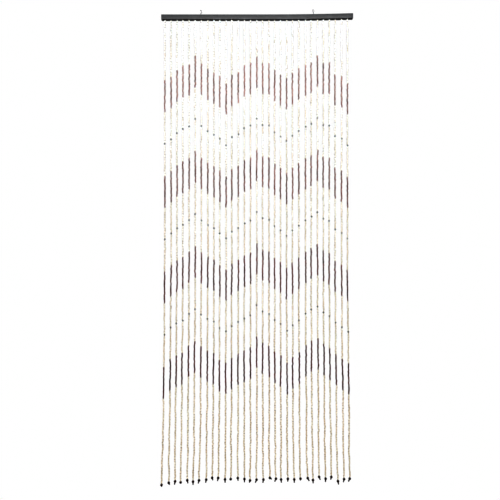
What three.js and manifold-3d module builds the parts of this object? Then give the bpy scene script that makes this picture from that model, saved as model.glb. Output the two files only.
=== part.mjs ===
// A wooden bead door curtain: a painted header bar that hangs on two screw hooks, and 31 bead strings.
// Millimetres, +X to the right, +Y away from the viewer, +Z up.
// The origin is midway between the hooks, level with the inner top of the left one's ring.
import * as THREE from 'three';
import { mergeVertices } from 'three/addons/utils/BufferGeometryUtils.js';
import Module from 'manifold-3d';

const wasm = await Module();
wasm.setup();

// Gap between neighbouring pieces
const FIT_GAP = 0.3;

// Points closer than this are one corner
const WELD_DISTANCE = 1e-4;

// Header bar
const BAR_LENGTH = 900;
const BAR_HEIGHT = 23;
const BAR_DEPTH = 20;
const BAR_EDGE_RADIUS = 1.5;
const BAR_STEPS = 24;
const WARP_START = 35;
const WARP_RISE = 5.9;

// Screw hooks, bent from wire, with their threaded ends in the bar
const HOOK_X = 265;
const HOOK_WIRE_RADIUS = 1.3;
const HOOK_RING_RADIUS = 5.6;
const HOOK_RING_OFFSET = 2;
const HOOK_RING_HEIGHT = 17.6;
const HOOK_SHANK = 6;
const HOOK_BEND = { side: 0.8, rise: 4 };
const HOOK_ARC = { from: -60, to: 200, step: 26 };
const HOOK_STEPS = 34;
const HOOK_THREAD = 10;
const HOOK_TURNS = { left: 55, right: -130 };
const PILOT_HOLE_SIDES = 12;

// Groove under the bar, and the strip in it that holds the strings
const GROOVE_LENGTH = 884;
const GROOVE_WIDTH = 7;
const GROOVE_DEPTH = 4;
const GROOVE_MOUTH = 1;

// Bead strings: 6.6 mm tubes on a cord, as a four-sided strand of about the same width
const FIRST_HOLE_X = -433.5;
const HOLE_PITCH = 28.65;
const STRAND_WIDTH = 6.2;
const STRAND_STEPS = 26;
const STRAND_ROOT = 2;
const MEAN_DROP = 2163;

// The strings fan out below this depth, and bend a little near their ends
const FAN_START = 1080;
const FAN_SPREAD = 12.5;
const FAN_POWER = 1.4;
const SWAY_LENGTH = 200;
const DEPTH_SWAY = 3;
const DEPTH_TURN = 2.4;

// End beads: a round bead with a short tube below it
const END_BEAD_RADIUS = 6.2;
const END_BEAD_SIDES = 8;
const END_BEAD_RINGS = 5;
const END_TUBE_RADIUS = 3;
const END_TUBE_BOTTOM = 14.5;
const END_TUBE_CHAMFER = 0.7;

// One row for each string, from the left. hole: how far its hole lies to the right of its even place.
// drop: how much further it hangs than the mean. sway: how far its end swings to the right.
// tail, away: how many degrees the tube below its end bead points to the right and to the back.
const STRING_COLUMNS = ['hole', 'drop', 'sway', 'tail', 'away'];
const STRING_ROWS = [
  [-1, 24, -3, -5, 40],
  [0, 15, 0, 12, 35],
  [-1, 6, 2, -10, 0],
  [-2, 13, -1, 0, 50],
  [-1, 2, 0, 12, 5],
  [-1, 8, -2, 0, 0],
  [-1, 4, -4, -14, 0],
  [1, -2, -1, -11, 5],
  [1, -9, -3, 12, 25],
  [0, -8, -3, -13, 5],
  [1, -3, -1, 2, 0],
  [-1, -2, -2, 0, 50],
  [1, -9, 0, 6, 20],
  [1, -4, 2, 0, 0],
  [1, 4, -1, -15, 30],
  [2, -2, -1, -22, 0],
  [1, 0, 3, -10, 0],
  [2, -9, 3, 40, 35],
  [0, -6, 4, -25, 0],
  [-1, 0, 0, 5, 5],
  [-1, -5, 2, 0, 20],
  [-2, -1, 4, 0, 0],
  [-1, -4, 3, 0, 40],
  [2, -8, 4, 28, 0],
  [0, 4, 2, 3, 0],
  [1, -12, 0, 22, 5],
  [0, -3, 2, -3, 0],
  [-1, -9, 1, -7, 20],
  [-2, 9, 3, 10, 0],
  [0, 2, 1, -12, 5],
  [-1, 0, -1, -24, 0],
];

const STRINGS = STRING_ROWS.map((row) => (
  Object.fromEntries(STRING_COLUMNS.map((column, index) => [column, row[index]]))
));

// Places along the height, worked out from the sizes above
const BAR_TOP = -(HOOK_RING_HEIGHT + HOOK_RING_RADIUS - HOOK_WIRE_RADIUS);
const BAR_BOTTOM = BAR_TOP - BAR_HEIGHT;

const COLOURS = {
  bar: 0x2d2d30,
  steel: 0x8f9196,
  bead: 0xb49a78,
  endBead: 0x1d1210,
};

const material = (color, roughness, metalness = 0) => (
  new THREE.MeshStandardMaterial({ color, roughness, metalness })
);

// How far the bar has curled up at a place along it.
const warp = (x) => WARP_RISE * (Math.max(0, x - WARP_START) / (BAR_LENGTH / 2 - WARP_START)) ** 2;

// Keeps only the shared corner points, so that the surface is one closed skin.
const weld = (geometry) => {
  const bare = geometry.index ? geometry.clone() : mergeVertices(geometry);
  bare.deleteAttribute('normal');
  bare.deleteAttribute('uv');
  return mergeVertices(bare, WELD_DISTANCE);
};

const toSolid = (geometry) => {
  const welded = weld(geometry);
  return new wasm.Manifold(new wasm.Mesh({
    numProp: 3,
    vertProperties: new Float32Array(welded.getAttribute('position').array),
    triVerts: new Uint32Array(welded.index.array),
  }));
};

const toGeometry = (solid) => {
  const mesh = solid.getMesh();
  const geometry = new THREE.BufferGeometry();
  geometry.setAttribute('position', new THREE.BufferAttribute(mesh.vertProperties, 3));
  geometry.setIndex(new THREE.BufferAttribute(mesh.triVerts, 1));
  geometry.computeVertexNormals();
  return geometry;
};

// Moves every point of a shape by what the given function makes of it.
const reshape = (geometry, move) => {
  const position = geometry.getAttribute('position');
  const point = new THREE.Vector3();
  for (let i = 0; i < position.count; i += 1) {
    move(point.fromBufferAttribute(position, i));
    position.setXYZ(i, point.x, point.y, point.z);
  }
  return geometry;
};

// Curls a straight length that runs along X up with the bar.
const curlUp = (geometry) => reshape(geometry, (point) => {
  point.z += warp(point.x);
});

// A straight box along X that lies in the groove and follows the bar's curl.
const grooveBox = (length, width, top, bottom) => {
  const box = new THREE.BoxGeometry(length, width, top - bottom, BAR_STEPS, 1, 1);
  box.translate(0, 0, (top + bottom) / 2);
  return curlUp(box);
};

// The bar's section: a rectangle with rounded corners, x across the depth and y up.
const barSection = () => {
  const halfDepth = BAR_DEPTH / 2;
  const round = BAR_EDGE_RADIUS;
  const shape = new THREE.Shape();
  shape.moveTo(halfDepth - round, BAR_BOTTOM);
  shape.absarc(halfDepth - round, BAR_BOTTOM + round, round, -Math.PI / 2, 0);
  shape.absarc(halfDepth - round, BAR_TOP - round, round, 0, Math.PI / 2);
  shape.absarc(-halfDepth + round, BAR_TOP - round, round, Math.PI / 2, Math.PI);
  shape.absarc(-halfDepth + round, BAR_BOTTOM + round, round, Math.PI, Math.PI * 1.5);
  return shape;
};

// The blind hole for a hook's threaded end.
const pilotHole = (x) => {
  const radius = (HOOK_WIRE_RADIUS + FIT_GAP) / Math.cos(Math.PI / PILOT_HOLE_SIDES);
  const depth = HOOK_THREAD + FIT_GAP;
  const hole = new THREE.CylinderGeometry(radius, radius, depth * 2, PILOT_HOLE_SIDES);
  hole.rotateX(Math.PI / 2);
  hole.translate(x, 0, BAR_TOP + warp(x));
  return toSolid(hole);
};

const headerBar = () => {
  const body = new THREE.ExtrudeGeometry(barSection(), {
    depth: BAR_LENGTH,
    steps: BAR_STEPS,
    curveSegments: 2,
    bevelEnabled: false,
  });
  body.rotateX(Math.PI / 2);
  body.rotateZ(Math.PI / 2);
  body.translate(-BAR_LENGTH / 2, 0, 0);
  const groove = grooveBox(
    GROOVE_LENGTH,
    GROOVE_WIDTH,
    BAR_BOTTOM + GROOVE_DEPTH,
    BAR_BOTTOM - GROOVE_MOUTH,
  );
  const solid = toSolid(curlUp(body))
    .subtract(toSolid(groove))
    .subtract(pilotHole(-HOOK_X))
    .subtract(pilotHole(HOOK_X));
  return new THREE.Mesh(toGeometry(solid), material(COLOURS.bar, 0.5));
};

// The hook's centreline: the thread, the shank, a bend to one side, and an open ring above it.
const hookPath = () => {
  const points = [
    new THREE.Vector3(0, 0, -HOOK_THREAD),
    new THREE.Vector3(0, 0, -HOOK_THREAD / 2),
    new THREE.Vector3(0, 0, 0),
    new THREE.Vector3(0, 0, HOOK_SHANK),
    new THREE.Vector3(HOOK_BEND.side, 0, HOOK_SHANK + HOOK_BEND.rise),
  ];
  for (let degrees = HOOK_ARC.from; degrees <= HOOK_ARC.to; degrees += HOOK_ARC.step) {
    const angle = THREE.MathUtils.degToRad(degrees);
    points.push(new THREE.Vector3(
      HOOK_RING_OFFSET + HOOK_RING_RADIUS * Math.cos(angle),
      0,
      HOOK_RING_HEIGHT + HOOK_RING_RADIUS * Math.sin(angle),
    ));
  }
  return new THREE.CatmullRomCurve3(points, false, 'centripetal');
};

const screwHook = (x, turn) => {
  const wire = new THREE.Shape().absarc(0, 0, HOOK_WIRE_RADIUS, 0, Math.PI * 2);
  const geometry = new THREE.ExtrudeGeometry(wire, {
    extrudePath: hookPath(),
    steps: HOOK_STEPS,
    curveSegments: 4,
    bevelEnabled: false,
  });
  const hook = new THREE.Mesh(weld(geometry), material(COLOURS.steel, 0.35, 0.9));
  hook.position.set(x, 0, BAR_TOP + warp(x));
  hook.rotation.z = THREE.MathUtils.degToRad(turn);
  return hook;
};

const holeX = (string, index) => FIRST_HOLE_X + HOLE_PITCH * index + string.hole;

// Where a string's middle lies at a given depth below the bar.
const stringPoint = (string, index, depth) => {
  const x = holeX(string, index);
  const fan = Math.max(0, depth - FAN_START) / (MEAN_DROP - FAN_START);
  const end = MEAN_DROP + string.drop;
  const bend = Math.max(0, depth - (end - SWAY_LENGTH)) / SWAY_LENGTH;
  return new THREE.Vector3(
    x + (x / (BAR_LENGTH / 2)) * FAN_SPREAD * fan ** FAN_POWER + string.sway * bend ** 2,
    DEPTH_SWAY * Math.sin(DEPTH_TURN * index) * (depth / end) ** 2,
    BAR_BOTTOM + warp(x) - depth,
  );
};

// A square bar that follows its string from inside the strip to just above the end bead.
const strand = (string, index) => {
  const bottom = MEAN_DROP + string.drop - END_BEAD_RADIUS - FIT_GAP;
  const length = bottom + STRAND_ROOT;
  const box = new THREE.BoxGeometry(STRAND_WIDTH, STRAND_WIDTH, length, 1, 1, STRAND_STEPS);
  return reshape(box, (point) => {
    const depth = bottom - (point.z + length / 2);
    const middle = stringPoint(string, index, Math.max(0, depth));
    point.x += middle.x;
    point.y += middle.y;
    point.z = BAR_BOTTOM + warp(holeX(string, index)) - depth;
  });
};

const beadStrings = () => {
  const strip = grooveBox(
    GROOVE_LENGTH - FIT_GAP * 2,
    GROOVE_WIDTH - FIT_GAP * 2,
    BAR_BOTTOM + GROOVE_DEPTH - FIT_GAP,
    BAR_BOTTOM,
  );
  const solid = STRINGS.reduce(
    (whole, string, index) => whole.add(toSolid(strand(string, index))),
    toSolid(strip),
  );
  return new THREE.Mesh(toGeometry(solid), material(COLOURS.bead, 0.6));
};

// Half outline of an end bead, from its top to the bottom of its tube, about the bead's middle.
const endBeadOutline = () => {
  const waist = -Math.acos(END_TUBE_RADIUS / END_BEAD_RADIUS);
  const points = [new THREE.Vector2(0, END_BEAD_RADIUS)];
  for (let ring = 1; ring <= END_BEAD_RINGS; ring += 1) {
    const angle = THREE.MathUtils.lerp(Math.PI / 2, waist, ring / END_BEAD_RINGS);
    points.push(new THREE.Vector2(Math.cos(angle), Math.sin(angle)).multiplyScalar(END_BEAD_RADIUS));
  }
  points.push(new THREE.Vector2(END_TUBE_RADIUS, END_TUBE_CHAMFER - END_TUBE_BOTTOM));
  points.push(new THREE.Vector2(END_TUBE_RADIUS - END_TUBE_CHAMFER, -END_TUBE_BOTTOM));
  points.push(new THREE.Vector2(0, -END_TUBE_BOTTOM));
  return points.reverse();
};

const endBead = (string, index) => {
  const geometry = new THREE.LatheGeometry(endBeadOutline(), END_BEAD_SIDES);
  geometry.rotateX(Math.PI / 2);
  const bead = new THREE.Mesh(weld(geometry), material(COLOURS.endBead, 0.4));
  bead.position.copy(stringPoint(string, index, MEAN_DROP + string.drop));
  bead.rotation.order = 'YXZ';
  bead.rotation.y = -THREE.MathUtils.degToRad(string.tail);
  bead.rotation.x = THREE.MathUtils.degToRad(string.away);
  return bead;
};

const named = (mesh, name) => {
  mesh.name = name;
  return mesh;
};

const curtain = new THREE.Group();
curtain.add(named(headerBar(), 'header_bar'));
curtain.add(named(screwHook(-HOOK_X, HOOK_TURNS.left), 'hook_left'));
curtain.add(named(screwHook(HOOK_X, HOOK_TURNS.right), 'hook_right'));
curtain.add(named(beadStrings(), 'bead_strings'));
STRINGS.forEach((string, index) => {
  const number = String(index + 1).padStart(2, '0');
  curtain.add(named(endBead(string, index), `end_bead_${number}`));
});

export default curtain;
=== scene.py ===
"""Wooden bead door curtain: a painted header bar on two screw hooks, with 31 strings of small tube beads.

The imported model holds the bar, the hooks, the strands and the end beads at their real size. This script
dresses them: a drilled and rounded bar, hooks bent from round wire, turned beads on their cords, and a
finish for each. Sizes are in millimetres until they reach a mesh, where MM turns them into metres.
"""

import logging
import math
from collections.abc import Callable, Sequence
from dataclasses import dataclass, field
from enum import Enum

import bmesh
import bpy
import numpy as np
from mathutils import Matrix, Vector


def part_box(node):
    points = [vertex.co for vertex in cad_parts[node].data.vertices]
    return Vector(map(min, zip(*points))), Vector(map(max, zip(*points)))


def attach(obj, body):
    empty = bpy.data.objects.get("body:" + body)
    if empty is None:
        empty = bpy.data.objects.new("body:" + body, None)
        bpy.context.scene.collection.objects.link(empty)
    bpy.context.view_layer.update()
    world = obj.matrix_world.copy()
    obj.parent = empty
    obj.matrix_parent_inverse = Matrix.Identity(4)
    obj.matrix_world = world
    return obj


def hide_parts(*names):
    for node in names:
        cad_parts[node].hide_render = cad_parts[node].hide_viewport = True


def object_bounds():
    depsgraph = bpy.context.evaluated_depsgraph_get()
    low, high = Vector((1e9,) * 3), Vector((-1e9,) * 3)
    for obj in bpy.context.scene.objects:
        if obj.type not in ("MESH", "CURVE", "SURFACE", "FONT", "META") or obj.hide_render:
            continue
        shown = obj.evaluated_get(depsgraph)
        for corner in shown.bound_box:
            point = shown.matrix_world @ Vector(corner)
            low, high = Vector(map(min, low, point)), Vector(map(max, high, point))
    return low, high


LOG = logging.getLogger("bead_curtain")
MM = 0.001
ROOT = "root"
WHITE = (1.0, 1.0, 1.0, 1.0)

Colour = tuple[float, float, float, float]
Pair = tuple[float, float]
Socket = bpy.types.NodeSocket
Material = bpy.types.Material
Piece = bpy.types.Object

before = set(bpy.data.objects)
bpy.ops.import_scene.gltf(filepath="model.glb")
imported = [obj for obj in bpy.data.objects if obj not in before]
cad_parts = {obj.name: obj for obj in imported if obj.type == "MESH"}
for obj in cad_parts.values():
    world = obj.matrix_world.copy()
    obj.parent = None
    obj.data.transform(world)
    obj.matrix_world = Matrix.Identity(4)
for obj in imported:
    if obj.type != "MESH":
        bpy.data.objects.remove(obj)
cad_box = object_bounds()


class Slot(Enum):
    """The record's material slots."""

    BAR_PAINT = "bar_paint"
    HOOK_WIRE = "hook_wire"
    PLAIN_BEAD = "plain_bead"
    DARK_BEAD = "dark_bead"
    BLUE_BEAD = "blue_bead"
    END_BEAD = "end_bead"
    CORD = "cord"


class Part(Enum):
    """What a pick on the bench selects: Blender's name for it, and the mesh's list of it."""

    FACES = ("FACE", "faces")
    EDGES = ("EDGE", "edges")
    CORNERS = ("VERT", "verts")


def paint(*levels: float) -> Colour:
    """Turns red, green and blue as a screen shows them, from 0 to 255, into a shader's linear colour."""
    shown = (level / 255 for level in levels)
    return (*(v / 12.92 if v <= 0.04045 else ((v + 0.055) / 1.055) ** 2.4 for v in shown), 1.0)


class Value:
    """A number that varies over a surface: a shader socket that Python's operators work on."""

    def __init__(self, board: "Board", socket: Socket) -> None:
        """Wraps an output socket of one of the board's nodes."""
        self.board = board
        self.socket = socket

    def _math(self, operation: str, other: object = 0.0) -> "Value":
        """Adds a Math node and returns its result."""
        node = self.board.node("ShaderNodeMath", {"operation": operation}, {0: self, 1: other})
        return Value(self.board, node.outputs[0])

    def __add__(self, other: object) -> "Value":
        """Returns this value plus another."""
        return self._math("ADD", other)

    def __sub__(self, other: object) -> "Value":
        """Returns this value less another."""
        return self._math("SUBTRACT", other)

    def __mul__(self, other: object) -> "Value":
        """Returns this value times another."""
        return self._math("MULTIPLY", other)

    def __abs__(self) -> "Value":
        """Returns this value without its sign."""
        return self._math("ABSOLUTE")

    def ramp(self, low: float, high: float, least: float = 0.0, most: float = 1.0) -> "Value":
        """Turns this value into a smooth step.

        Args:
            low: Where the step starts.
            high: Where it ends.
            least: What it gives up to its start.
            most: What it gives from its end on.

        Returns:
            The step.
        """
        inputs = {"Value": self, "From Min": low, "From Max": high, "To Min": least, "To Max": most}
        node = self.board.node("ShaderNodeMapRange", {"interpolation_type": "SMOOTHSTEP"}, inputs)
        return Value(self.board, node.outputs["Result"])


class Board:
    """The node tree of a material or a world, and the few ways in which its nodes are made."""

    def __init__(self, owner: bpy.types.ID) -> None:
        """Empties the tree of a new material or world.

        Args:
            owner: The material or world.
        """
        self.owner = owner
        owner.use_nodes = True
        self.tree = owner.node_tree
        self.tree.nodes.clear()

    def node(self, kind: str, settings: dict | None = None, inputs: dict | None = None) -> bpy.types.Node:
        """Adds one node.

        Args:
            kind: The node's type.
            settings: Its own settings, which are made first.
            inputs: For each socket, by name or number, a Value, another node's socket or a constant.

        Returns:
            The new node.
        """
        node = self.tree.nodes.new(kind)
        for setting, choice in (settings or {}).items():
            setattr(node, setting, choice)
        for key, given in (inputs or {}).items():
            source = given.socket if isinstance(given, Value) else given
            if isinstance(source, Socket):
                self.tree.links.new(source, node.inputs[key])
            else:
                node.inputs[key].default_value = source
        return node

    def place(self) -> Socket:
        """Returns the point on the piece, in metres."""
        return self.node("ShaderNodeTexCoord").outputs["Object"]

    def vector(self, operation: str, first: object, second: object) -> Socket:
        """Returns the result of a Vector Math node."""
        return self.node("ShaderNodeVectorMath", {"operation": operation}, {0: first, 1: second}).outputs[0]

    def split(self, vector: Socket) -> tuple[Value, Value, Value]:
        """Returns a vector's three parts."""
        node = self.node("ShaderNodeSeparateXYZ", None, {0: vector})
        return tuple(Value(self, output) for output in node.outputs)

    def attribute(self, name: str) -> bpy.types.Node:
        """Returns the node that reads one of the piece's own attributes."""
        return self.node("ShaderNodeAttribute", {"attribute_name": name})

    def noise(self, place: Socket, scale: float, detail: float = 3.0) -> Value:
        """Returns a noise of that many features to the metre."""
        node = self.node("ShaderNodeTexNoise", None, {"Vector": place, "Scale": scale, "Detail": detail})
        return Value(self, node.outputs[0])

    def mix(self, share: object, first: object, second: object, blend: str = "MIX") -> Socket:
        """Returns a first colour with a share of a second, from 0 to 1, blended over it."""
        settings = {"data_type": "RGBA", "blend_type": blend}
        return self.node("ShaderNodeMix", settings, {0: share, 6: first, 7: second}).outputs[2]

    def bump(self, height: Value, distance: float, strength: float = 1.0) -> Socket:
        """Returns a normal bent by a height of 0 to 1 over that distance, in millimetres."""
        inputs = {"Height": height, "Distance": distance * MM, "Strength": strength}
        return self.node("ShaderNodeBump", None, inputs).outputs[0]

    def surface(self, inputs: dict) -> Material:
        """Closes the tree with a Principled BSDF.

        Args:
            inputs: The shader's inputs.

        Returns:
            The finished material.
        """
        shader = self.node("ShaderNodeBsdfPrincipled", None, inputs)
        self.node("ShaderNodeOutputMaterial", None, {"Surface": shader.outputs[0]})
        return self.owner


@dataclass(frozen=True)
class TurnedWood:
    """A small turned bead's finish. Each bead has its own tone, hue and grain, from the attribute "bead".

    Attributes:
        pale, deep: The colours of the palest and the deepest bead.
        cool, warm: The hues that beads lean to, by hue_share.
        end: The colour that darkens the grain, by grain_share, and the sawn ends, by end_share, partly as
            darker end grain and partly as painted shade in the joints between beads.
        roughness, dullness: The smoothest part's roughness, and how much rougher the dullest bead is.
        shine, shine_tint: How strongly the bare wood shines, and in which colour.
        coat: The weight of the lacquer.
        grain_height: The depth of the grain, in millimetres.
    """

    name: str
    pale: Colour
    deep: Colour
    cool: Colour
    warm: Colour
    end: Colour
    hue_share: float = 0.5
    grain_share: float = 0.55
    end_share: float = 0.6
    roughness: float = 0.55
    dullness: float = 0.1
    shine: float = 0.09
    shine_tint: Colour = WHITE
    coat: float = 0.0
    grain_height: float = 0.12

    GRAIN_SCALE = 1500.0
    GRAIN_STRETCH = (1.0, 1.0, 0.1)
    GRAIN_BUMP = 0.6
    STREAK_RAMP = (0.44, 0.66)
    STREAK_ROUGHNESS = 0.14
    CLOUD_SCALE = GRAIN_SCALE / 9
    CLOUD_RAMP = (0.5, 0.72)
    CLOUD_SHARE = 0.6
    SEED_SHIFT = (0.37, 0.53, 0.71)
    RIM_RAMP = (0.28, 0.46)
    # How strongly each bead's ends are darkened, by its seed: darker end grain and painted shade in the
    # joints.
    RIM_SHADE_BY_BEAD = (0.4, 0.85, 0.5, 1.0)
    RIM_ROUGHNESS = 0.2
    COAT_ROUGHNESS = 0.2

    def material(self) -> Material:
        """Mixes the finish.

        Returns:
            The material, which reads the attributes "bead" and "along".
        """
        board = Board(bpy.data.materials.new(self.name))
        tone, hue, seed = board.split(board.attribute("bead").outputs["Vector"])
        along = Value(board, board.attribute("along").outputs["Fac"])
        shift = board.vector("MULTIPLY", seed, self.SEED_SHIFT)
        stretched = board.vector("MULTIPLY", board.place(), self.GRAIN_STRETCH)
        grain = board.noise(board.vector("ADD", stretched, shift), self.GRAIN_SCALE)
        cloud = board.noise(board.vector("ADD", board.place(), shift), self.CLOUD_SCALE)
        streak = grain.ramp(*self.STREAK_RAMP)
        patch = cloud.ramp(*self.CLOUD_RAMP)
        # Each bead darkens towards its ends: partly darker end grain, partly painted shade in the joints
        # between beads, more on some beads than on others.
        rim = abs(along - 0.5).ramp(*self.RIM_RAMP)
        end_grain_and_shade = rim * seed.ramp(*self.RIM_SHADE_BY_BEAD) * self.end_share
        wood = board.mix(tone, self.pale, self.deep)
        wood = board.mix(self.hue_share, wood, board.mix(hue, self.cool, self.warm))
        wood = board.mix(streak * self.grain_share, wood, self.end, "MULTIPLY")
        wood = board.mix(patch * (self.grain_share * self.CLOUD_SHARE), wood, self.end, "MULTIPLY")
        worn = streak * self.STREAK_ROUGHNESS + seed * self.dullness + rim * self.RIM_ROUGHNESS
        return board.surface({
            "Base Color": board.mix(end_grain_and_shade, wood, self.end),
            "Roughness": worn + self.roughness,
            "Specular IOR Level": self.shine,
            "Specular Tint": self.shine_tint,
            "Coat Weight": self.coat,
            "Coat Roughness": self.COAT_ROUGHNESS,
            "Normal": board.bump(grain, self.grain_height, self.GRAIN_BUMP),
        })


@dataclass(frozen=True)
class BarPaint:
    """Dark grey paint over a planed wooden batten, whose grain still shows along it."""

    name: str = "painted_batten"
    face: Colour = paint(58, 57, 55)
    streak: Colour = paint(41, 40, 39)
    rubbed: Colour = paint(78, 77, 75)
    roughness: float = 0.48
    shine: float = 0.04

    GRAIN = ((0.035, 1.0, 1.0), 900.0, 5.0)
    GRAIN_RAMP = (0.35, 0.68)
    GRAIN_ROUGHNESS = 0.2
    GRAIN_BUMP = (0.18, 0.7)
    PATCH = ((0.25, 1.0, 1.0), 75.0, 3.0)
    PATCH_RAMP = (0.5, 0.78, 0.0, 0.55)
    SPECK = ((1.0, 1.0, 1.0), 1400.0, 2.0)
    SPECK_RAMP = (0.66, 0.74, 0.0, 0.5)

    def material(self) -> Material:
        """Mixes the finish.

        Returns:
            The material.
        """
        board = Board(bpy.data.materials.new(self.name))
        grain, patch, speck = (
            board.noise(board.vector("MULTIPLY", board.place(), stretch), scale, detail)
            for stretch, scale, detail in (self.GRAIN, self.PATCH, self.SPECK)
        )
        colour = board.mix(grain.ramp(*self.GRAIN_RAMP), self.face, self.streak)
        colour = board.mix(patch.ramp(*self.PATCH_RAMP), colour, self.rubbed)
        colour = board.mix(speck.ramp(*self.SPECK_RAMP), colour, self.rubbed)
        return board.surface({
            "Base Color": colour,
            "Roughness": grain * self.GRAIN_ROUGHNESS + self.roughness,
            "Specular IOR Level": self.shine,
            "Normal": board.bump(grain, *self.GRAIN_BUMP),
        })


@dataclass(frozen=True)
class HookWire:
    """Zinc-plated steel wire, with painted shade that darkens it towards the thread over the shank above
    the bar's top, and a few darker worn spots.
    """

    bar_top: float
    name: str = "plated_wire"
    bright: Colour = paint(88, 88, 92)
    # The dark colour of the painted shade near the bar, and of the worn spots.
    shade_and_wear: Colour = paint(7, 7, 8)
    shank: float = 15.0
    roughness: float = 0.3

    WORN_SCALE = 700.0
    WORN_RAMP = (0.5, 0.75, 0.0, 0.1)
    WORN_ROUGHNESS = 0.3
    WORN_BUMP = (0.04, 0.5)
    SHADE_SHARE = 0.9

    def material(self) -> Material:
        """Mixes the finish.

        Returns:
            The material.
        """
        board = Board(bpy.data.materials.new(self.name))
        place = board.place()
        worn = board.noise(place, self.WORN_SCALE)
        # Painted shade near the bar: darkest up to half the shank above the bar's top, gone at the shank's
        # full height.
        shaded_heights = (self.bar_top + self.shank / 2) * MM, (self.bar_top + self.shank) * MM
        low = board.split(place)[2].ramp(*shaded_heights, self.SHADE_SHARE, 0.0)
        return board.surface({
            "Base Color": board.mix(low + worn.ramp(*self.WORN_RAMP), self.bright, self.shade_and_wear),
            "Metallic": 1.0,
            "Roughness": worn * self.WORN_ROUGHNESS + self.roughness,
            "Normal": board.bump(worn, *self.WORN_BUMP),
        })


@dataclass(frozen=True)
class TwistedCord:
    """Pale cotton cord, whose twist shows as slanted bands."""

    name: str = "twisted_cord"
    light: Colour = paint(232, 224, 206)
    shade: Colour = paint(168, 154, 130)
    bend: float = 0.6
    roughness: float = 0.75

    SLANT = (0.9, 0.9, 1.0)
    TWIST_SCALE = 208.333
    TWIST_ROUGHNESS = 0.15
    TWIST_BUMP = (0.15, 0.8)

    def material(self) -> Material:
        """Mixes the finish.

        Returns:
            The material.
        """
        board = Board(bpy.data.materials.new(self.name))
        slanted = board.vector("MULTIPLY", board.place(), self.SLANT)
        inputs = {"Vector": slanted, "Scale": self.TWIST_SCALE, "Distortion": self.bend}
        settings = {"wave_type": "BANDS", "bands_direction": "DIAGONAL"}
        twist = Value(board, board.node("ShaderNodeTexWave", settings, inputs).outputs["Fac"])
        return board.surface({
            "Base Color": board.mix(twist, self.shade, self.light),
            "Roughness": twist * self.TWIST_ROUGHNESS + self.roughness,
            "Normal": board.bump(twist, *self.TWIST_BUMP),
        })


def activate(piece: Piece) -> None:
    """Selects a piece, and no other, for the operators that follow.

    Args:
        piece: The piece.
    """
    bpy.ops.object.select_all(action="DESELECT")
    piece.select_set(True)
    bpy.context.view_layer.objects.active = piece


def shade(angle: float) -> None:
    """Shades faces of the selected piece as one where they meet at under that many degrees."""
    bpy.ops.object.shade_smooth_by_angle(angle=math.radians(angle))


def extrude(step: Sequence[float]) -> None:
    """Draws the selected faces out by a step, in metres."""
    bpy.ops.mesh.extrude_region_move(TRANSFORM_OT_translate={"value": step})


def flare(growth: float, height: float = 0.0) -> None:
    """Widens what is selected about the upright through the origin, at a height in metres."""
    bpy.ops.transform.resize(value=(growth, growth, 1), center_override=(0, 0, height))


def unit(rows: np.ndarray) -> np.ndarray:
    """Returns each row at a length of 1."""
    return rows / np.linalg.norm(rows, axis=1)[:, None]


class Workpiece:
    """One mesh on the bench: a primitive that is shaped in edit mode and then taken off as a piece."""

    RIM_ANGLE = math.radians(60)
    LEVEL = 0.999
    WELD = 0.002 * MM

    def __init__(self, name: str, start: Callable[[], object]) -> None:
        """Adds the primitive, gives it its name and opens it for shaping.

        Args:
            name: The piece's name.
            start: Adds one primitive at its size and place.
        """
        bpy.ops.object.select_all(action="DESELECT")
        start()
        self.piece = bpy.context.object
        self.piece.name = name
        self.piece.data.name = name
        bpy.ops.object.transform_apply(location=True, rotation=True, scale=True)
        bpy.ops.object.mode_set(mode="EDIT")
        bpy.ops.mesh.select_all(action="DESELECT")

    @classmethod
    def rod(cls, name: str, radius: float, length: float, sides: int, middle: float = 0.0) -> "Workpiece":
        """Starts from an upright rod.

        Args:
            name: The piece's name.
            radius: Its radius, in millimetres.
            length: Its length, in millimetres.
            sides: How many sides it has.
            middle: The height of its middle, in millimetres.

        Returns:
            The rod on the bench.
        """
        return cls(name, lambda: bpy.ops.mesh.primitive_cylinder_add(
            vertices=sides,
            radius=radius * MM,
            depth=length * MM,
            location=(0, 0, middle * MM),
        ))

    def pick(self, part: Part, test: Callable[[object], bool]) -> None:
        """Selects the faces, edges or corners that pass a test, and nothing else.

        Args:
            part: Which of the three.
            test: Says of each one whether it is selected.
        """
        mode, kind = part.value
        bpy.ops.mesh.select_mode(type=mode)
        bpy.ops.mesh.select_all(action="DESELECT")
        for item in getattr(bmesh.from_edit_mesh(self.piece.data), kind):
            if test(item):
                item.select_set(True)
        bmesh.update_edit_mesh(self.piece.data)

    def round_rims(self, radius: float, steps: int) -> None:
        """Rounds the sharp edges by a radius in millimetres, in that many steps."""
        self.pick(Part.EDGES, lambda edge: edge.calc_face_angle(0.0) > self.RIM_ANGLE)
        bpy.ops.mesh.bevel(offset=radius * MM, segments=steps)

    def cut(self, point: Vector, normal: Vector, trim: bool = False) -> None:
        """Cuts the whole mesh along a plane. A trim takes off what lies beyond it and closes the cut."""
        bpy.ops.mesh.select_all(action="SELECT")
        bpy.ops.mesh.bisect(plane_co=point, plane_no=normal, use_fill=trim, clear_outer=trim)

    def drill(self, rim: float) -> None:
        """Drills through from end to end.

        Args:
            rim: How much is left round the hole, in millimetres.
        """
        self.pick(Part.FACES, lambda face: abs(face.normal.z) > self.LEVEL)
        bpy.ops.mesh.inset(thickness=rim * MM)
        bpy.ops.mesh.bridge_edge_loops()

    def take_off(self, smooth: float | None = None) -> Piece:
        """Closes the mesh, turns its faces outwards and takes it off the bench.

        Args:
            smooth: The angle in degrees under which neighbouring faces shade as one.

        Returns:
            The piece, at the origin.
        """
        bpy.ops.mesh.select_all(action="SELECT")
        bpy.ops.mesh.remove_doubles(threshold=self.WELD)
        bpy.ops.mesh.normals_make_consistent(inside=False)
        bpy.ops.object.mode_set(mode="OBJECT")
        if smooth is not None:
            shade(smooth)
        return self.piece


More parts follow.
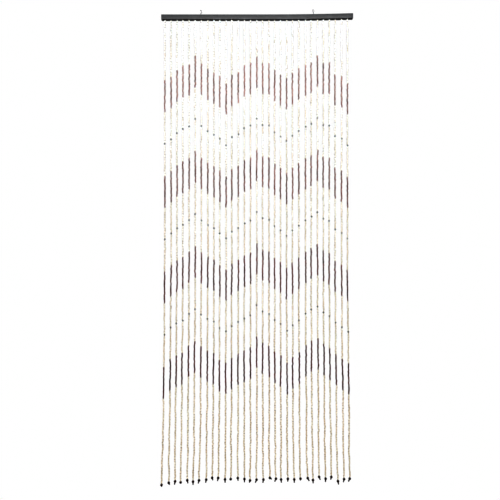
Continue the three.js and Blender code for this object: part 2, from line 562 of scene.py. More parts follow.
@dataclass
class Pattern:
    """A finished mesh as arrays, from which joined copies are made.

    Attributes:
        points: Its corners, in metres.
        corners: The corner that each face loop uses.
        starts: The first loop of each face.
    """

    points: np.ndarray
    corners: np.ndarray
    starts: np.ndarray

    @classmethod
    def of(cls, piece: Piece) -> "Pattern":
        """Reads a finished piece's mesh, and removes the piece.

        Args:
            piece: The piece, at the origin.

        Returns:
            The pattern.
        """
        mesh = piece.data
        points = np.array([point.co for point in mesh.vertices])
        corners = np.array([loop.vertex_index for loop in mesh.loops])
        starts = np.array([face.loop_start for face in mesh.polygons])
        bpy.data.objects.remove(piece)
        return cls(points, corners, starts)

    def along(self) -> np.ndarray:
        """Returns how far up the pattern each corner lies, from 0 to 1."""
        heights = self.points[:, 2]
        return (heights - heights.min()) / (heights.max() - heights.min())

    def joined(self, name: str, placed: np.ndarray, smooth: float) -> Piece:
        """Makes one mesh of many copies.

        Args:
            name: The piece's name.
            placed: The corners of every copy, in metres: copies, corners, 3.
            smooth: The angle in degrees under which neighbouring faces shade as one.

        Returns:
            The joined piece.
        """
        copies, size = placed.shape[:2]
        turns = np.arange(copies)[:, None]
        corners = (self.corners + turns * size).ravel()
        starts = (self.starts + turns * len(self.corners)).ravel()
        mesh = bpy.data.meshes.new(name)
        for group, count, column, values in (
            (mesh.vertices, copies * size, "co", placed.ravel()),
            (mesh.loops, len(corners), "vertex_index", corners.astype(np.int32)),
            (mesh.polygons, len(starts), "loop_start", starts.astype(np.int32)),
        ):
            group.add(count)
            group.foreach_set(column, values)
        mesh.update(calc_edges=True)
        piece = bpy.data.objects.new(name, mesh)
        bpy.context.scene.collection.objects.link(piece)
        activate(piece)
        shade(smooth)
        return piece


@dataclass(frozen=True)
class TubeBead:
    """A short rod with rounded ends and a bore. Sizes in millimetres."""

    radius: float
    length: float
    rounding: float
    sides: int
    round_steps: int
    bore_radius: float = 1.1

    def turn(self) -> Pattern:
        """Turns the bead.

        Returns:
            Its mesh.
        """
        work = Workpiece.rod("tube", self.radius, self.length, self.sides)
        work.round_rims(self.rounding, self.round_steps)
        work.drill(self.radius - self.rounding - self.bore_radius)
        return Pattern.of(work.take_off())


@dataclass(frozen=True)
class RoundBead:
    """A ball with flat ends, at a distance from its middle, and a bore. Sizes in millimetres."""

    radius: float
    flat: float
    segments: int
    rings: int
    bore_radius: float = 1.1

    def turn(self) -> Pattern:
        """Turns the bead.

        Returns:
            Its mesh.
        """
        work = Workpiece("round", lambda: bpy.ops.mesh.primitive_uv_sphere_add(
            segments=self.segments,
            ring_count=self.rings,
            radius=self.radius * MM,
        ))
        for way in (Vector((0, 0, 1)), Vector((0, 0, -1))):
            work.cut(way * (self.flat * MM), way, trim=True)
        work.drill(math.sqrt(self.radius**2 - self.flat**2) - self.bore_radius)
        return Pattern.of(work.take_off())


def hand_over(piece: Piece, material: Material, slot: Slot, *nodes: str) -> None:
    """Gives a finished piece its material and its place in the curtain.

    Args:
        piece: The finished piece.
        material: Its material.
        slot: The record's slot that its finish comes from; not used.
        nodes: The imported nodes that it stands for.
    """
    piece.data.materials.clear()
    piece.data.materials.append(material)
    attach(piece, ROOT)
    if nodes:
        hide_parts(*nodes)
    LOG.info("%s: %d faces", piece.name, len(piece.data.polygons))


@dataclass(frozen=True)
class StringRow:
    """How one string differs from an even one. Sizes in millimetres, angles in degrees.

    Attributes:
        hole: How far its hole lies to the right of its even place.
        drop: How much further it hangs than the mean.
        sway: How far its end swings to the right.
        tail: How far the tube below its end bead points to the right.
        away: How far that tube points to the back.
        lift: How much lower its first dark run starts than on an even string.
        growth: How much longer than the mean one repeat of its beads is.
    """

    hole: float
    drop: float
    sway: float
    tail: float
    away: float
    lift: float
    growth: float


STRING_ROWS = tuple(StringRow(*row) for row in (
    (-1, 24, -3, -5, 40, -7, 6),
    (0, 15, 0, 12, 35, 1, -1),
    (-1, 6, 2, -10, 0, -7, 4),
    (-2, 13, -1, 0, 50, -4, 7),
    (-1, 2, 0, 12, 5, 15, -3),
    (-1, 8, -2, 0, 0, -1, 4),
    (-1, 4, -4, -14, 0, 11, 0),
    (1, -2, -1, -11, 5, 12, -2),
    (1, -9, -3, 12, 25, 6, -4),
    (0, -8, -3, -13, 5, -4, 2),
    (1, -3, -1, 2, 0, 8, -6),
    (-1, -2, -2, 0, 50, -10, 1),
    (1, -9, 0, 6, 20, 2, -2),
    (1, -4, 2, 0, 0, -6, 4),
    (1, 4, -1, -15, 30, 7, 3),
    (2, -2, -1, -22, 0, 4, -5),
    (1, 0, 3, -10, 0, 9, -5),
    (2, -9, 3, 40, 35, -16, 0),
    (0, -6, 4, -25, 0, -7, -2),
    (-1, 0, 0, 5, 5, -10, -3),
    (-1, -5, 2, 0, 20, -18, 3),
    (-2, -1, 4, 0, 0, -17, 2),
    (-1, -4, 3, 0, 40, -15, 2),
    (2, -8, 4, 28, 0, -6, -4),
    (0, 4, 2, 3, 0, 7, -7),
    (1, -12, 0, 22, 5, -1, 0),
    (0, -3, 2, -3, 0, 11, -3),
    (-1, -9, 1, -7, 20, -16, 5),
    (-2, 9, 3, 10, 0, 17, -5),
    (0, 2, 1, -12, 5, 2, 0),
    (-1, 0, -1, -24, 0, 13, -5),
))


@dataclass(frozen=True)
class BarSize:
    """The header bar's sizes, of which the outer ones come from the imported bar."""

    length: float
    depth: float
    bottom: float
    height: float = 23.0
    warp_start: float = 35.0
    warp_rise: float = 5.9

    @classmethod
    def from_frame(cls) -> "BarSize":
        """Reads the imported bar's box."""
        low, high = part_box("header_bar")
        return cls((high.x - low.x) / MM, (high.y - low.y) / MM, low.z / MM)

    @property
    def top(self) -> float:
        """The height of the bar's straight top."""
        return self.bottom + self.height

    def warp(self, x: float) -> float:
        """Returns how far the bar has curled up at a place along it."""
        reach = max(0.0, x - self.warp_start) / (self.length / 2 - self.warp_start)
        return self.warp_rise * reach**2


class Bead(Enum):
    """The beads that are threaded on a string, each with its slot."""

    PLAIN = Slot.PLAIN_BEAD
    DARK = Slot.DARK_BEAD
    BLUE = Slot.BLUE_BEAD


@dataclass(frozen=True)
class Run:
    """A stretch of like beads on a string: their kind, their count, and the depths it reaches between."""

    bead: Bead
    count: int
    start: float
    end: float


@dataclass(frozen=True)
class Wave:
    """One of the waves in which a string strays from its straight line, at its top and at its end."""

    shortest: float
    longest: float
    top: float
    bottom: float


@dataclass
class StringLine:
    """One string: the line in which it hangs, and the beads in their order.

    Attributes:
        row: How it differs from an even string.
        index: Its number from the left, from 0.
        bar: The bar that it hangs from.
    """

    row: StringRow
    index: int
    bar: BarSize
    first_hole: float = -433.5
    hole_pitch: float = 28.65
    mean_drop: float = 2163.0
    fan_start: float = 1080.0
    fan_spread: float = 12.5
    fan_power: float = 1.4
    sway_length: float = 200.0
    depth_sway: float = 3.0
    depth_turn: float = 2.4
    tube_pitch: float = 12.15
    blue_length: float = 6.0
    blue_rise: float = 1.4
    zigzag_step: int = 5
    shortest_top: int = 14
    run_count: int = 12
    runs_in_repeat: int = 3
    dark_rows: int = 4
    end_gap: float = 7.4
    taut_length: float = 45.0
    waves: tuple[Wave, ...] = (
        Wave(420.0, 900.0, 0.3, 0.8),
        Wave(260.0, 420.0, 0.25, 0.7),
        Wave(150.0, 240.0, 0.2, 0.7),
        Wave(90.0, 140.0, 0.08, 0.45),
    )
    seed: int = 4100
    rng: np.random.Generator = field(init=False)
    phases: np.ndarray = field(init=False)
    lengths: np.ndarray = field(init=False)

    def __post_init__(self) -> None:
        """Draws the string's own waves."""
        self.rng = np.random.default_rng(self.seed + self.index)
        self.phases = self.rng.uniform(0, math.tau, (len(self.waves), 2))
        self.lengths = np.array([self.rng.uniform(wave.shortest, wave.longest, 2) for wave in self.waves])

    @property
    def hole_x(self) -> float:
        """The place of the string's hole along the bar."""
        return self.first_hole + self.hole_pitch * self.index + self.row.hole

    @property
    def end(self) -> float:
        """The depth of the end bead's middle."""
        return self.mean_drop + self.row.drop

    def stray(self, depths: np.ndarray) -> np.ndarray:
        """Adds up the string's waves.

        Args:
            depths: Depths below the bar, in millimetres.

        Returns:
            How far it strays to the side and to the back at each depth.
        """
        share = depths / self.end
        hold = np.clip(depths / self.taut_length, 0, 1)
        hold *= np.clip((self.end - depths) / self.taut_length, 0, 1)
        total = np.zeros((len(depths), 2))
        for wave, length, phase in zip(self.waves, self.lengths, self.phases, strict=True):
            size = (wave.top + (wave.bottom - wave.top) * share**2) * hold
            total += size[:, None] * np.sin(math.tau * depths[:, None] / length + phase)
        return total

    def points(self, depths: Sequence[float]) -> np.ndarray:
        """Returns where the string's middle lies at each depth below the bar.

        Args:
            depths: Depths in millimetres.

        Returns:
            A point for each depth, in millimetres.
        """
        depths = np.asarray(depths, float)
        x = self.hole_x
        fan = np.clip(depths - self.fan_start, 0, None) / (self.mean_drop - self.fan_start)
        bend = np.clip(depths - (self.end - self.sway_length), 0, None) / self.sway_length
        stray = self.stray(depths)
        across = x + x / (self.bar.length / 2) * self.fan_spread * fan**self.fan_power
        swing = self.depth_sway * math.sin(self.depth_turn * self.index) * (depths / self.end) ** 2
        return np.stack([
            across + self.row.sway * bend**2 + stray[:, 0],
            swing + stray[:, 1],
            self.bar.bottom + self.bar.warp(x) - depths,
        ], axis=1)

    def runs(self) -> list[Run]:
        """Lays out the zigzag pattern on this string.

        Returns:
            The runs of beads, from the bar down to the end bead.
        """
        place = self.index % (2 * self.zigzag_step)
        top_count = self.shortest_top + 2 * abs(place - self.zigzag_step)
        tubes = self.runs_in_repeat * self.run_count * self.tube_pitch
        repeat = tubes + self.blue_length + self.row.growth
        run = (repeat - self.blue_length) / self.runs_in_repeat
        start = top_count * self.tube_pitch + self.row.lift
        made = [Run(Bead.PLAIN, top_count, 0.0, start)]
        for number in range(self.dark_rows):
            dark_end = start + run
            made.append(Run(Bead.DARK, self.run_count, start, dark_end))
            if number == self.dark_rows - 1:
                break
            blue_start = dark_end + run - self.blue_rise
            blue_end = blue_start + self.blue_length
            start += repeat
            made.append(Run(Bead.PLAIN, self.run_count, dark_end, blue_start))
            made.append(Run(Bead.BLUE, 1, blue_start, blue_end))
            made.append(Run(Bead.PLAIN, self.run_count, blue_end, start))
        last = self.end - self.end_gap
        made.append(Run(Bead.PLAIN, round((last - dark_end) / self.tube_pitch), dark_end, last))
        return made

    def tail_turn(self, share: float) -> Matrix:
        """Turns what hangs at the string's end.

        Args:
            share: How much of the lowest tube's turn is wanted, from 0 to 1.

        Returns:
            The turn.
        """
        side = Matrix.Rotation(-math.radians(self.row.tail) * share, 3, "Y")
        back = Matrix.Rotation(math.radians(self.row.away) * share, 3, "X")
        return side @ back


@dataclass
class Threaded:
    """Beads of one kind that go into one joined mesh.

    Attributes:
        rows: The beads as they were threaded, as arrays: where they start, where they end, their tone, hue
            and seed, how wide they are against the pattern, and how far they are turned.
    """

    rows: list[tuple[np.ndarray, ...]] = field(default_factory=list)

    def piece(self, name: str, pattern: Pattern, smooth: float) -> Piece:
        """Makes the joined mesh, with the attributes that the beads' finish reads.

        Args:
            name: The piece's name.
            pattern: The bead, upright, with its middle at the origin.
            smooth: The angle in degrees under which neighbouring faces shade as one.

        Returns:
            The joined piece.
        """
        columns = zip(*self.rows, strict=True)
        top, bottom, looks, width, spin = (np.concatenate(column) for column in columns)
        top, bottom = top * MM, bottom * MM
        up = unit(top - bottom)
        length = np.linalg.norm(top - bottom, axis=1)
        side = np.stack([np.cos(spin), np.sin(spin), np.zeros(len(spin))], axis=1)
        side = unit(side - up * (side * up).sum(axis=1)[:, None])
        across = pattern.points[None, :, :2] * width[:, None, None]
        height = pattern.points[None, :, 2] / np.ptp(pattern.points[:, 2]) * length[:, None]
        placed = (
            ((top + bottom) / 2)[:, None]
            + across[..., :1] * side[:, None]
            + across[..., 1:] * np.cross(up, side)[:, None]
            + height[..., None] * up[:, None]
        )
        made = pattern.joined(name, placed, smooth)
        bead = made.data.attributes.new("bead", "FLOAT_VECTOR", "POINT")
        bead.data.foreach_set("vector", np.repeat(looks, len(pattern.points), axis=0).ravel())
        along = made.data.attributes.new("along", "FLOAT", "POINT")
        along.data.foreach_set("value", np.tile(pattern.along(), len(looks)))
        return made


@dataclass
class BeadStrings:
    """The tube beads and the blue beads of all the strings."""

    lines: list[StringLine]
    tube_radius: float = 3.3
    tube_round: float = 0.85
    blue_radius: float = 4.1
    blue_bore: float = 0.88
    bead_gap: float = 0.3
    loose_fit: float = 0.8
    largest_shift: float = 1.5
    length_spread: float = 0.07
    length_range: Pair = (0.8, 1.2)
    width_spread: float = 0.06
    width_range: Pair = (0.88, 1.1)
    mood_range: Pair = (0.3, 0.7)
    plain_tones: float = 0.22
    stained_tones: float = 0.2
    hues: float = 0.17
    drift_kept: float = 0.6
    own_share: float = 0.9
    strings_in_piece: int = 4
    smooth: float = 52.0

    def _walk(self, rng: np.random.Generator, count: int, level: float, step: float) -> np.ndarray:
        """Draws values that wander slowly from bead to bead, with some of each bead's own.

        Args:
            rng: The string's random draws.
            count: How many beads there are.
            level: The value that they wander about.
            step: How far one bead strays from the last.

        Returns:
            A value from 0 to 1 for each bead.
        """
        drift = np.empty(count)
        place = level
        for number in range(count):
            place = level + (place - level) * self.drift_kept + rng.normal(0, step)
            drift[number] = place
        return np.clip(drift + rng.normal(0, step * self.own_share, count), 0, 1)

    def thread(self, line: StringLine, run: Run, batch: Threaded, mood: Pair) -> None:
        """Threads a run's beads on a string.

        Args:
            line: The string.
            run: The run of beads.
            batch: The beads of the same piece, to which these are added.
            mood: The string's own tone and hue, about which its beads' wander.
        """
        rng = line.rng
        sizes = np.clip(rng.normal(1, self.length_spread, run.count), *self.length_range)
        joints = run.start + np.concatenate([[0], np.cumsum(sizes / sizes.sum())]) * (run.end - run.start)
        middle = line.points(joints)
        fit = rng.normal(0, self.loose_fit, (2, run.count, 2))
        fit = np.clip(fit, -self.largest_shift, self.largest_shift)
        tops, bottoms = middle[:-1].copy(), middle[1:].copy()
        tops[:, :2] += fit[0]
        bottoms[:, :2] += fit[1]
        tops[:, 2] -= self.bead_gap / 2
        bottoms[:, 2] += self.bead_gap / 2
        tones = self.plain_tones if run.bead is Bead.PLAIN else self.stained_tones
        tone = self._walk(rng, run.count, mood[0], tones)
        hue = self._walk(rng, run.count, mood[1], self.hues)
        looks = np.stack([tone, hue, rng.uniform(0, 1, run.count)], axis=1)
        widths = np.clip(rng.normal(1, self.width_spread, run.count), *self.width_range)
        batch.rows.append((tops, bottoms, looks, widths, rng.uniform(0, math.tau, run.count)))

    def build(self, finishes: dict[Bead, TurnedWood]) -> None:
        """Threads all the strings and makes the joined pieces.

        Args:
            finishes: The finish of each kind of bead.
        """
        batches: dict[Bead, dict[int, Threaded]] = {bead: {} for bead in Bead}
        for line in self.lines:
            mood = (line.rng.uniform(*self.mood_range), line.rng.uniform(*self.mood_range))
            seen = dict.fromkeys(Bead, 0)
            for run in line.runs():
                seen[run.bead] += 1
                is_plain = run.bead is Bead.PLAIN
                number = line.index // self.strings_in_piece + 1 if is_plain else seen[run.bead]
                self.thread(line, run, batches[run.bead].setdefault(number, Threaded()), mood)
        tube_length, blue_length = self.lines[0].tube_pitch, self.lines[0].blue_length
        tube = TubeBead(self.tube_radius, tube_length, self.tube_round, sides=10, round_steps=1).turn()
        flat = blue_length / 2
        ball = RoundBead(self.blue_radius, flat, segments=12, rings=8, bore_radius=self.blue_bore).turn()
        for bead, group in batches.items():
            slot, material = bead.value, finishes[bead].material()
            pattern = ball if bead is Bead.BLUE else tube
            for number, batch in sorted(group.items()):
                piece = batch.piece(f"{slot.value}s_{number}", pattern, self.smooth)
                hand_over(piece, material, slot, "bead_strings")


@dataclass
class EndBeads:
    """The round bead at each string's end, and the short stopper tube below it."""

    lines: list[StringLine]
    radius: float = 6.2
    flat: float = 5.95
    tube_radius: float = 3.0
    tube_top: float = 6.05
    tube_bottom: float = 14.5
    tube_round: float = 0.7
    width_range: Pair = (0.98, 1.01)
    smooth: float = 50.0
    seed: int = 8200

    def build(self, finish: TurnedWood) -> None:
        """Hangs a bead and a stopper on every string.

        Args:
            finish: The finish of both.
        """
        balls, stoppers = Threaded(), Threaded()
        for line in self.lines:
            middle = Vector(line.points([line.end])[0])
            rng = np.random.default_rng(self.seed + line.index)
            for batch, share, top, bottom in (
                (balls, 0.5, self.flat, -self.flat),
                (stoppers, 1.0, -self.tube_top, -self.tube_bottom),
            ):
                turn = line.tail_turn(share)
                batch.rows.append((
                    np.array([middle + turn @ Vector((0, 0, top))]),
                    np.array([middle + turn @ Vector((0, 0, bottom))]),
                    rng.uniform(0, 1, (1, 3)),
                    rng.uniform(*self.width_range, 1),
                    rng.uniform(0, math.tau, 1),
                ))
        material = finish.material()
        nodes = [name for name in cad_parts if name.startswith("end_bead_")]
        ball = RoundBead(self.radius, self.flat, segments=24, rings=16)
        length = self.tube_bottom - self.tube_top
        tube = TubeBead(self.tube_radius, length, self.tube_round, sides=16, round_steps=2)
        for name, batch, bead in (("end_beads", balls, ball), ("stopper_tubes", stoppers, tube)):
            hand_over(batch.piece(name, bead.turn(), self.smooth), material, Slot.END_BEAD, *nodes)


@dataclass
class Cords:
    """The cord in every string, from its hole in the bar to the knot in its stopper tube."""

    lines: list[StringLine]
    beads: EndBeads
    radius: float = 0.55
    sides: int = 6
    steps: int = 60
    hidden: float = 3.0
    margin: float = 1.0
    knot_radius: float = 0.95
    knot_wire: float = 0.62
    knot_drop: float = 0.2
    knot_turn: float = 28.0
    smooth: float = 60.0

    def cord(self) -> Pattern:
        """Makes a straight cord of one metre.

        Returns:
            The cord, with a ring of corners at each step.
        """
        work = Workpiece.rod("cord", self.radius, 1 / MM, self.sides, 0.5 / MM)
        for step in range(1, self.steps):
            work.cut(Vector((0, 0, step / self.steps)), Vector((0, 0, 1)))
        return Pattern.of(work.take_off())

    def knot(self) -> Pattern:
        """Ties a small round knot.

        Returns:
            A turn of cord, pulled together.
        """
        work = Workpiece("knot", lambda: bpy.ops.mesh.primitive_torus_add(
            major_radius=self.knot_radius * MM,
            minor_radius=self.knot_wire * MM,
            major_segments=12,
            minor_segments=8,
        ))
        work.pick(Part.FACES, lambda face: face.calc_center_median().x > 0)
        turn = math.radians(self.knot_turn)
        bpy.ops.transform.rotate(value=turn, orient_axis="X", center_override=(0, 0, 0))
        return Pattern.of(work.take_off())

    def route(self, line: StringLine) -> np.ndarray:
        """Runs a cord down its string, through the end bead and the stopper tube.

        Args:
            line: The string.

        Returns:
            The cord's middle at each of its steps, from the bar down, in millimetres.
        """
        middle = line.points([line.end])[0]
        half, full = line.tail_turn(0.5), line.tail_turn(1.0)
        end = [middle + np.array(turn @ Vector((0, 0, height))) for turn, height in (
            (half, self.beads.flat),
            (half, 0),
            (half, -self.beads.flat),
            (full, -self.beads.tube_top - self.margin),
            (full, -self.beads.tube_bottom + self.margin),
        )]
        last = line.end - line.end_gap - self.margin
        hung = line.points(np.linspace(0, last, self.steps + 1 - len(end)))
        hung[0, 2] += self.hidden
        return np.concatenate([hung, end])

    def build(self, finish: TwistedCord) -> None:
        """Runs the cords and ties their knots.

        Args:
            finish: The cord's finish.
        """
        cord, knot = self.cord(), self.knot()
        down = self.steps - np.rint(cord.points[:, 2] * self.steps).astype(int)
        cords, knots = [], []
        for line in self.lines:
            route = self.route(line) * MM
            along = unit(np.gradient(route, axis=0))
            side = unit(np.array([1.0, 0.0, 0.0]) - along * along[:, :1])
            back = np.cross(side, along)
            across = cord.points[:, :1] * side[down] + cord.points[:, 1:2] * back[down]
            cords.append(route[down] + across)
            turn = np.array(line.tail_turn(1.0))
            tail = route[-1] + turn @ np.array([0, 0, -(self.margin + self.knot_drop) * MM])
            knots.append(knot.points @ turn.T + tail)
        material = finish.material()
        hand_over(cord.joined("cords", np.array(cords), self.smooth), material, Slot.CORD, "bead_strings")
        hand_over(knot.joined("cord_knots", np.array(knots), self.smooth), material, Slot.CORD)


@dataclass
class HeaderBar:
    """The painted batten that the strings hang from, drilled for their cords."""

    size: BarSize
    lines: list[StringLine]
    edge_radius: float = 1.5
    edge_steps: int = 3
    warp_steps: int = 14
    same_column: float = 0.01
    hole_radius: float = 1.5
    hole_depth: float = 13.0
    hole_sides: int = 16
    mouth_radius: float = 2.1
    mouth_depth: float = 0.8
    smooth: float = 40.0

    def batten(self) -> Piece:
        """Planes the batten, rounds its edges and lets its right end curl up.

        Returns:
            The batten, not yet drilled.
        """
        size = self.size
        work = Workpiece("header_batten", lambda: bpy.ops.mesh.primitive_cube_add(
            size=1,
            location=(0, 0, (size.bottom + size.height / 2) * MM),
            scale=(size.length * MM, size.depth * MM, size.height * MM),
        ))
        work.round_rims(self.edge_radius, self.edge_steps)
        reach = size.length / 2 - size.warp_start
        for step in range(self.warp_steps):
            place = size.warp_start + reach * step / self.warp_steps
            work.cut(Vector((place * MM, 0, 0)), Vector((1, 0, 0)))
        corners = bmesh.from_edit_mesh(work.piece.data).verts
        curled = {round(corner.co.x / MM, 3) for corner in corners if corner.co.x > size.warp_start * MM}
        for column in sorted(curled):
            work.pick(Part.CORNERS, lambda corner: abs(corner.co.x / MM - column) < self.same_column)
            bpy.ops.transform.translate(value=(0, 0, size.warp(column) * MM))
        return work.take_off(self.smooth)

    def drills(self) -> Piece:
        """Makes the drills for the strings' holes.

        Returns:
            A rod for each hole, with a flared mouth, joined.
        """
        depth = self.hole_depth
        work = Workpiece.rod("drill", self.hole_radius, depth, self.hole_sides, depth / 2)
        mouth = Vector((0, 0, self.mouth_depth * MM))
        work.pick(Part.FACES, lambda face: face.normal.z < -work.LEVEL)
        bpy.ops.transform.translate(value=mouth)
        extrude(-mouth)
        flare(self.mouth_radius / self.hole_radius)
        extrude(-mouth)
        drill = Pattern.of(work.take_off())
        places = [
            Vector((line.hole_x, 0, self.size.bottom + self.size.warp(line.hole_x))) * MM
            for line in self.lines
        ]
        placed = np.array([drill.points + np.array(place) for place in places])
        return drill.joined("drills", placed, self.smooth)

    def build(self, finish: BarPaint) -> None:
        """Makes the drilled bar.

        Args:
            finish: Its paint.
        """
        bar = self.batten()
        drills = self.drills()
        activate(bar)
        drilled = bar.modifiers.new("drilled", "BOOLEAN")
        drilled.operation = "DIFFERENCE"
        drilled.solver = "EXACT"
        drilled.object = drills
        bpy.ops.object.modifier_apply(modifier=drilled.name)
        bpy.data.objects.remove(drills)
        shade(self.smooth)
        hand_over(bar, finish.material(), Slot.BAR_PAINT, "header_bar")


class HookSide(Enum):
    """The two hooks: node, place along the bar in millimetres, and turn about the upright in degrees."""

    LEFT = ("hook_left", -265.0, 55.0)
    RIGHT = ("hook_right", 265.0, -130.0)


@dataclass
class ScrewHooks:
    """The two open hooks, bent from round wire and screwed into the bar's top edge."""

    bar: BarSize
    wire_radius: float = 1.3
    wire_sides: int = 14
    thread_length: float = 10.0
    thread_pitch: float = 0.9
    thread_shown: float = 2.4
    bend_radius: float = 3.0
    bend_steps: int = 8
    ring_radius: float = 5.6
    ring_offset: float = 2.0
    ring_height: float = 17.6
    ring_end: float = 200.0
    ring_steps: int = 36
    smooth: float = 50.0

    CREST = 1.2
    THREAD = ((0.3, CREST), (0.2, 1.0), (0.3, 1 / CREST), (0.2, 1.0))
    TIP = ((0.45, 0.88), (0.35, 0.6))

    def wire(self, name: str) -> Piece:
        """Bends one hook, upright over the origin, with its ring to the right.

        Args:
            name: The hook's name.

        Returns:
            The hook, not yet turned or set on the bar.
        """
        reach = self.bend_radius + self.ring_radius
        across = self.ring_offset - self.bend_radius
        bend_height = self.ring_height - math.sqrt(reach**2 - across**2)
        bend = math.acos(-across / reach)
        work = Workpiece(name, lambda: bpy.ops.mesh.primitive_circle_add(
            vertices=self.wire_sides,
            radius=self.wire_radius * MM,
            fill_type="NGON",
            location=(0, 0, -self.thread_length * MM),
        ))
        work.pick(Part.FACES, lambda face: True)
        height = -self.thread_length
        while height + self.thread_pitch < self.thread_shown:
            for rise, growth in self.THREAD:
                height += rise * self.thread_pitch
                extrude((0, 0, rise * self.thread_pitch * MM))
                flare(growth, height * MM)
        extrude((0, 0, (bend_height - height) * MM))
        self._spin(bend, self.bend_steps, Vector((self.bend_radius, 0, bend_height)))
        sweep = bend + math.radians(self.ring_end)
        self._spin(-sweep, self.ring_steps, Vector((self.ring_offset, 0, self.ring_height)))
        self._round_tip(work)
        return work.take_off(self.smooth)

    def _spin(self, angle: float, steps: int, centre: Vector) -> None:
        """Bends the selected end about a centre, to the right for a positive angle."""
        bpy.ops.mesh.spin(steps=steps, angle=angle, center=centre * MM, axis=(0, -1, 0))

    def _round_tip(self, work: Workpiece) -> None:
        """Rounds the wire's cut tip, which is selected.

        Args:
            work: The hook on the bench.
        """
        shape = bmesh.from_edit_mesh(work.piece.data)
        tip = next(face for face in shape.faces if face.select)
        middle, normal = tip.calc_center_median(), tip.normal.copy()
        for rise, share in self.TIP:
            step = normal * (rise * self.wire_radius * MM)
            middle += step
            extrude(step)
            bpy.ops.transform.resize(value=(share, share, share), center_override=middle)

    def build(self, finish: HookWire) -> None:
        """Bends both hooks and sets them on the bar.

        Args:
            finish: The wire's finish.
        """
        material = finish.material()
        for side in HookSide:
            node, place, turn = side.value
            hook = self.wire(f"wire_{node}")
            seat = Vector((place, 0, self.bar.top + self.bar.warp(place))) * MM
            hook.data.transform(Matrix.Translation(seat) @ Matrix.Rotation(math.radians(turn), 4, "Z"))
            hand_over(hook, material, Slot.HOOK_WIRE, node)


class Seen(Enum):
    """What a light acts on: the colour of surfaces, their gloss, or both."""

    BOTH = "both"
    BODY = "body"
    GLOSS = "gloss"


@dataclass(frozen=True)
class Lamp:
    """One soft rectangular light. Sizes in millimetres, power in watts, spread in degrees."""

    name: str
    place: Vector
    target: Vector
    size: Pair
    power: float
    colour: tuple[float, float, float]
    seen_in: Seen = Seen.BOTH
    spread: float = 180.0

    def hang(self) -> None:
        """Hangs the light."""
        data = bpy.data.lights.new(self.name, "AREA")
        data.shape = "RECTANGLE"
        data.size, data.size_y = self.size[0] * MM, self.size[1] * MM
        data.energy = self.power
        data.color = self.colour
        data.spread = math.radians(self.spread)
        lamp = bpy.data.objects.new(self.name, data)
        lamp.location = self.place * MM
        lamp.visible_diffuse = self.seen_in is not Seen.GLOSS
        lamp.visible_glossy = self.seen_in is not Seen.BODY
        lamp.rotation_mode = "QUATERNION"
        lamp.rotation_quaternion = (self.target - self.place).to_track_quat("-Z", "Y")
        bpy.context.scene.collection.objects.link(lamp)


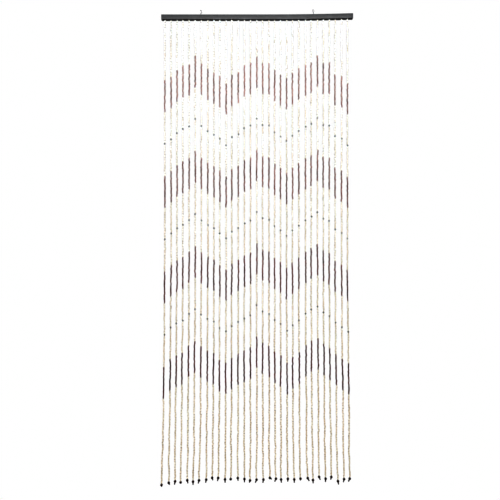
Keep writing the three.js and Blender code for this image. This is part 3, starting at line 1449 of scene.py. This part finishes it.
@dataclass
class Studio:
    """The pale floor, the soft lights and the camera, at the photograph's angle."""

    view_width: float = 2353.0
    distance: float = 2300.0
    aim_x: float = -33.6
    aim_z: float = -1126.3
    sensor: float = 36.0
    nearest: float = 0.05
    farthest: float = 60.0
    floor_drop: float = 50.0
    floor_size: float = 16000.0
    light_start: float = -0.2
    light_below: float = 0.05
    light_above: float = 0.7
    warmth: Colour = (1.0, 0.945, 0.845, 1.0)
    key_distance: float = 1300.0
    key_size: Pair = (2000.0, 1000.0)
    key_colour: tuple[float, float, float] = (0.6, 0.92, 1.46)
    key_power: float = 29.0
    glare_power: float = 340.0
    glare_spread: float = 110.0
    fill_distance: float = 4000.0
    fill_size: Pair = (3000.0, 3000.0)
    fill_power: float = 195.0
    contrast: float = 0.65

    def camera(self) -> None:
        """Sets the camera up, level and square to the curtain."""
        data = bpy.data.cameras.new("camera")
        data.sensor_width = self.sensor
        data.lens = self.sensor * self.distance / self.view_width
        data.clip_start = self.nearest
        data.clip_end = self.farthest
        camera = bpy.data.objects.new("camera", data)
        camera.location = Vector((self.aim_x, -self.distance, self.aim_z)) * MM
        camera.rotation_euler = (math.pi / 2, 0, 0)
        bpy.context.scene.collection.objects.link(camera)
        bpy.context.scene.camera = camera

    def floor(self) -> None:
        """Lays the floor a little below the lowest bead."""
        low = cad_box[0].z - self.floor_drop * MM
        bpy.ops.mesh.primitive_plane_add(size=self.floor_size * MM, location=(0, 0, low))
        floor = bpy.context.object
        floor.name = "floor"
        floor.visible_diffuse = floor.visible_glossy = False
        board = Board(bpy.data.materials.new("pale_floor"))
        floor.data.materials.append(board.surface({
            "Base Color": (0.0, 0.0, 0.0, 1.0),
            "Roughness": 1.0,
            "Specular IOR Level": 0.0,
            "Emission Color": WHITE,
            "Emission Strength": 1.0,
        }))

    def surroundings(self) -> None:
        """Makes the white surroundings, whose light comes more from above than from below."""
        world = bpy.data.worlds.new("white_surroundings")
        board = Board(world)
        rise = board.split(board.node("ShaderNodeTexCoord").outputs["Generated"])[2]
        given = rise.ramp(self.light_start, 1.0, self.light_below, self.light_above)
        seen = board.node("ShaderNodeLightPath").outputs["Is Camera Ray"]
        strength = board.node("ShaderNodeMix", None, {"Factor": seen, "A": given, "B": 1.0})
        colour = board.mix(seen, self.warmth, WHITE)
        inputs = {"Color": colour, "Strength": strength.outputs["Result"]}
        background = board.node("ShaderNodeBackground", None, inputs)
        board.node("ShaderNodeOutputWorld", None, {"Surface": background.outputs[0]})
        bpy.context.scene.world = world

    def build(self) -> None:
        """Sets the whole studio up."""
        self.camera()
        self.floor()
        self.surroundings()
        top, middle = Vector((0, 0, 0)), Vector((0, 0, self.aim_z))
        near, away = Vector((0, -self.key_distance, 0)), Vector((0, self.fill_distance, 0))
        warm, gloss, body = self.warmth[:3], Seen.GLOSS, Seen.BODY
        for lamp in (
            Lamp("key", near, top, self.key_size, self.key_power, self.key_colour),
            Lamp("glare", near, top, self.key_size, self.glare_power, warm, gloss, self.glare_spread),
            Lamp("front_fill", middle - away, middle, self.fill_size, self.fill_power, warm, body),
            Lamp("back_fill", middle + away, middle, self.fill_size, self.fill_power, warm, body),
        ):
            lamp.hang()
        bpy.context.scene.view_settings.view_transform = "Standard"
        bpy.context.scene.view_settings.gamma = self.contrast


PLAIN_WOOD = TurnedWood(
    name="plain_wood",
    pale=paint(251, 244, 224),
    deep=paint(210, 193, 162),
    cool=paint(222, 220, 199),
    warm=paint(242, 220, 199),
    end=paint(94, 73, 51),
    hue_share=0.42,
    grain_share=0.25,
    end_share=0.8,
)
DARK_WOOD = TurnedWood(
    name="dark_stained_wood",
    pale=paint(128, 60, 52),
    deep=paint(36, 16, 14),
    cool=paint(66, 42, 38),
    warm=paint(104, 42, 36),
    end=paint(12, 5, 4),
    hue_share=0.5,
    end_share=0.9,
    roughness=0.2,
    dullness=0.4,
    shine=0.52,
    shine_tint=(1.0, 0.8, 0.75, 1.0),
)
BLUE_WOOD = TurnedWood(
    name="blue_painted_wood",
    pale=paint(40, 58, 55),
    deep=paint(14, 28, 26),
    cool=paint(18, 46, 46),
    warm=paint(30, 50, 42),
    end=paint(12, 16, 18),
    roughness=0.4,
    grain_share=0.3,
)
END_WOOD = TurnedWood(
    name="end_bead_lacquer",
    pale=paint(44, 18, 16),
    deep=paint(20, 10, 10),
    cool=paint(18, 12, 12),
    warm=paint(52, 18, 16),
    end=paint(10, 6, 6),
    roughness=0.36,
    coat=0.35,
)


def main() -> None:
    """Builds the curtain, piece by piece, and the studio round it."""
    logging.basicConfig(level=logging.INFO, format="%(name)s %(message)s")
    bar = BarSize.from_frame()
    lines = [StringLine(row, index, bar) for index, row in enumerate(STRING_ROWS)]
    Studio().build()
    HeaderBar(bar, lines).build(BarPaint())
    ScrewHooks(bar).build(HookWire(bar.top))
    BeadStrings(lines).build({Bead.PLAIN: PLAIN_WOOD, Bead.DARK: DARK_WOOD, Bead.BLUE: BLUE_WOOD})
    end_beads = EndBeads(lines)
    end_beads.build(END_WOOD)
    Cords(lines, end_beads).build(TwistedCord())


if __name__ == "__main__":
    main()
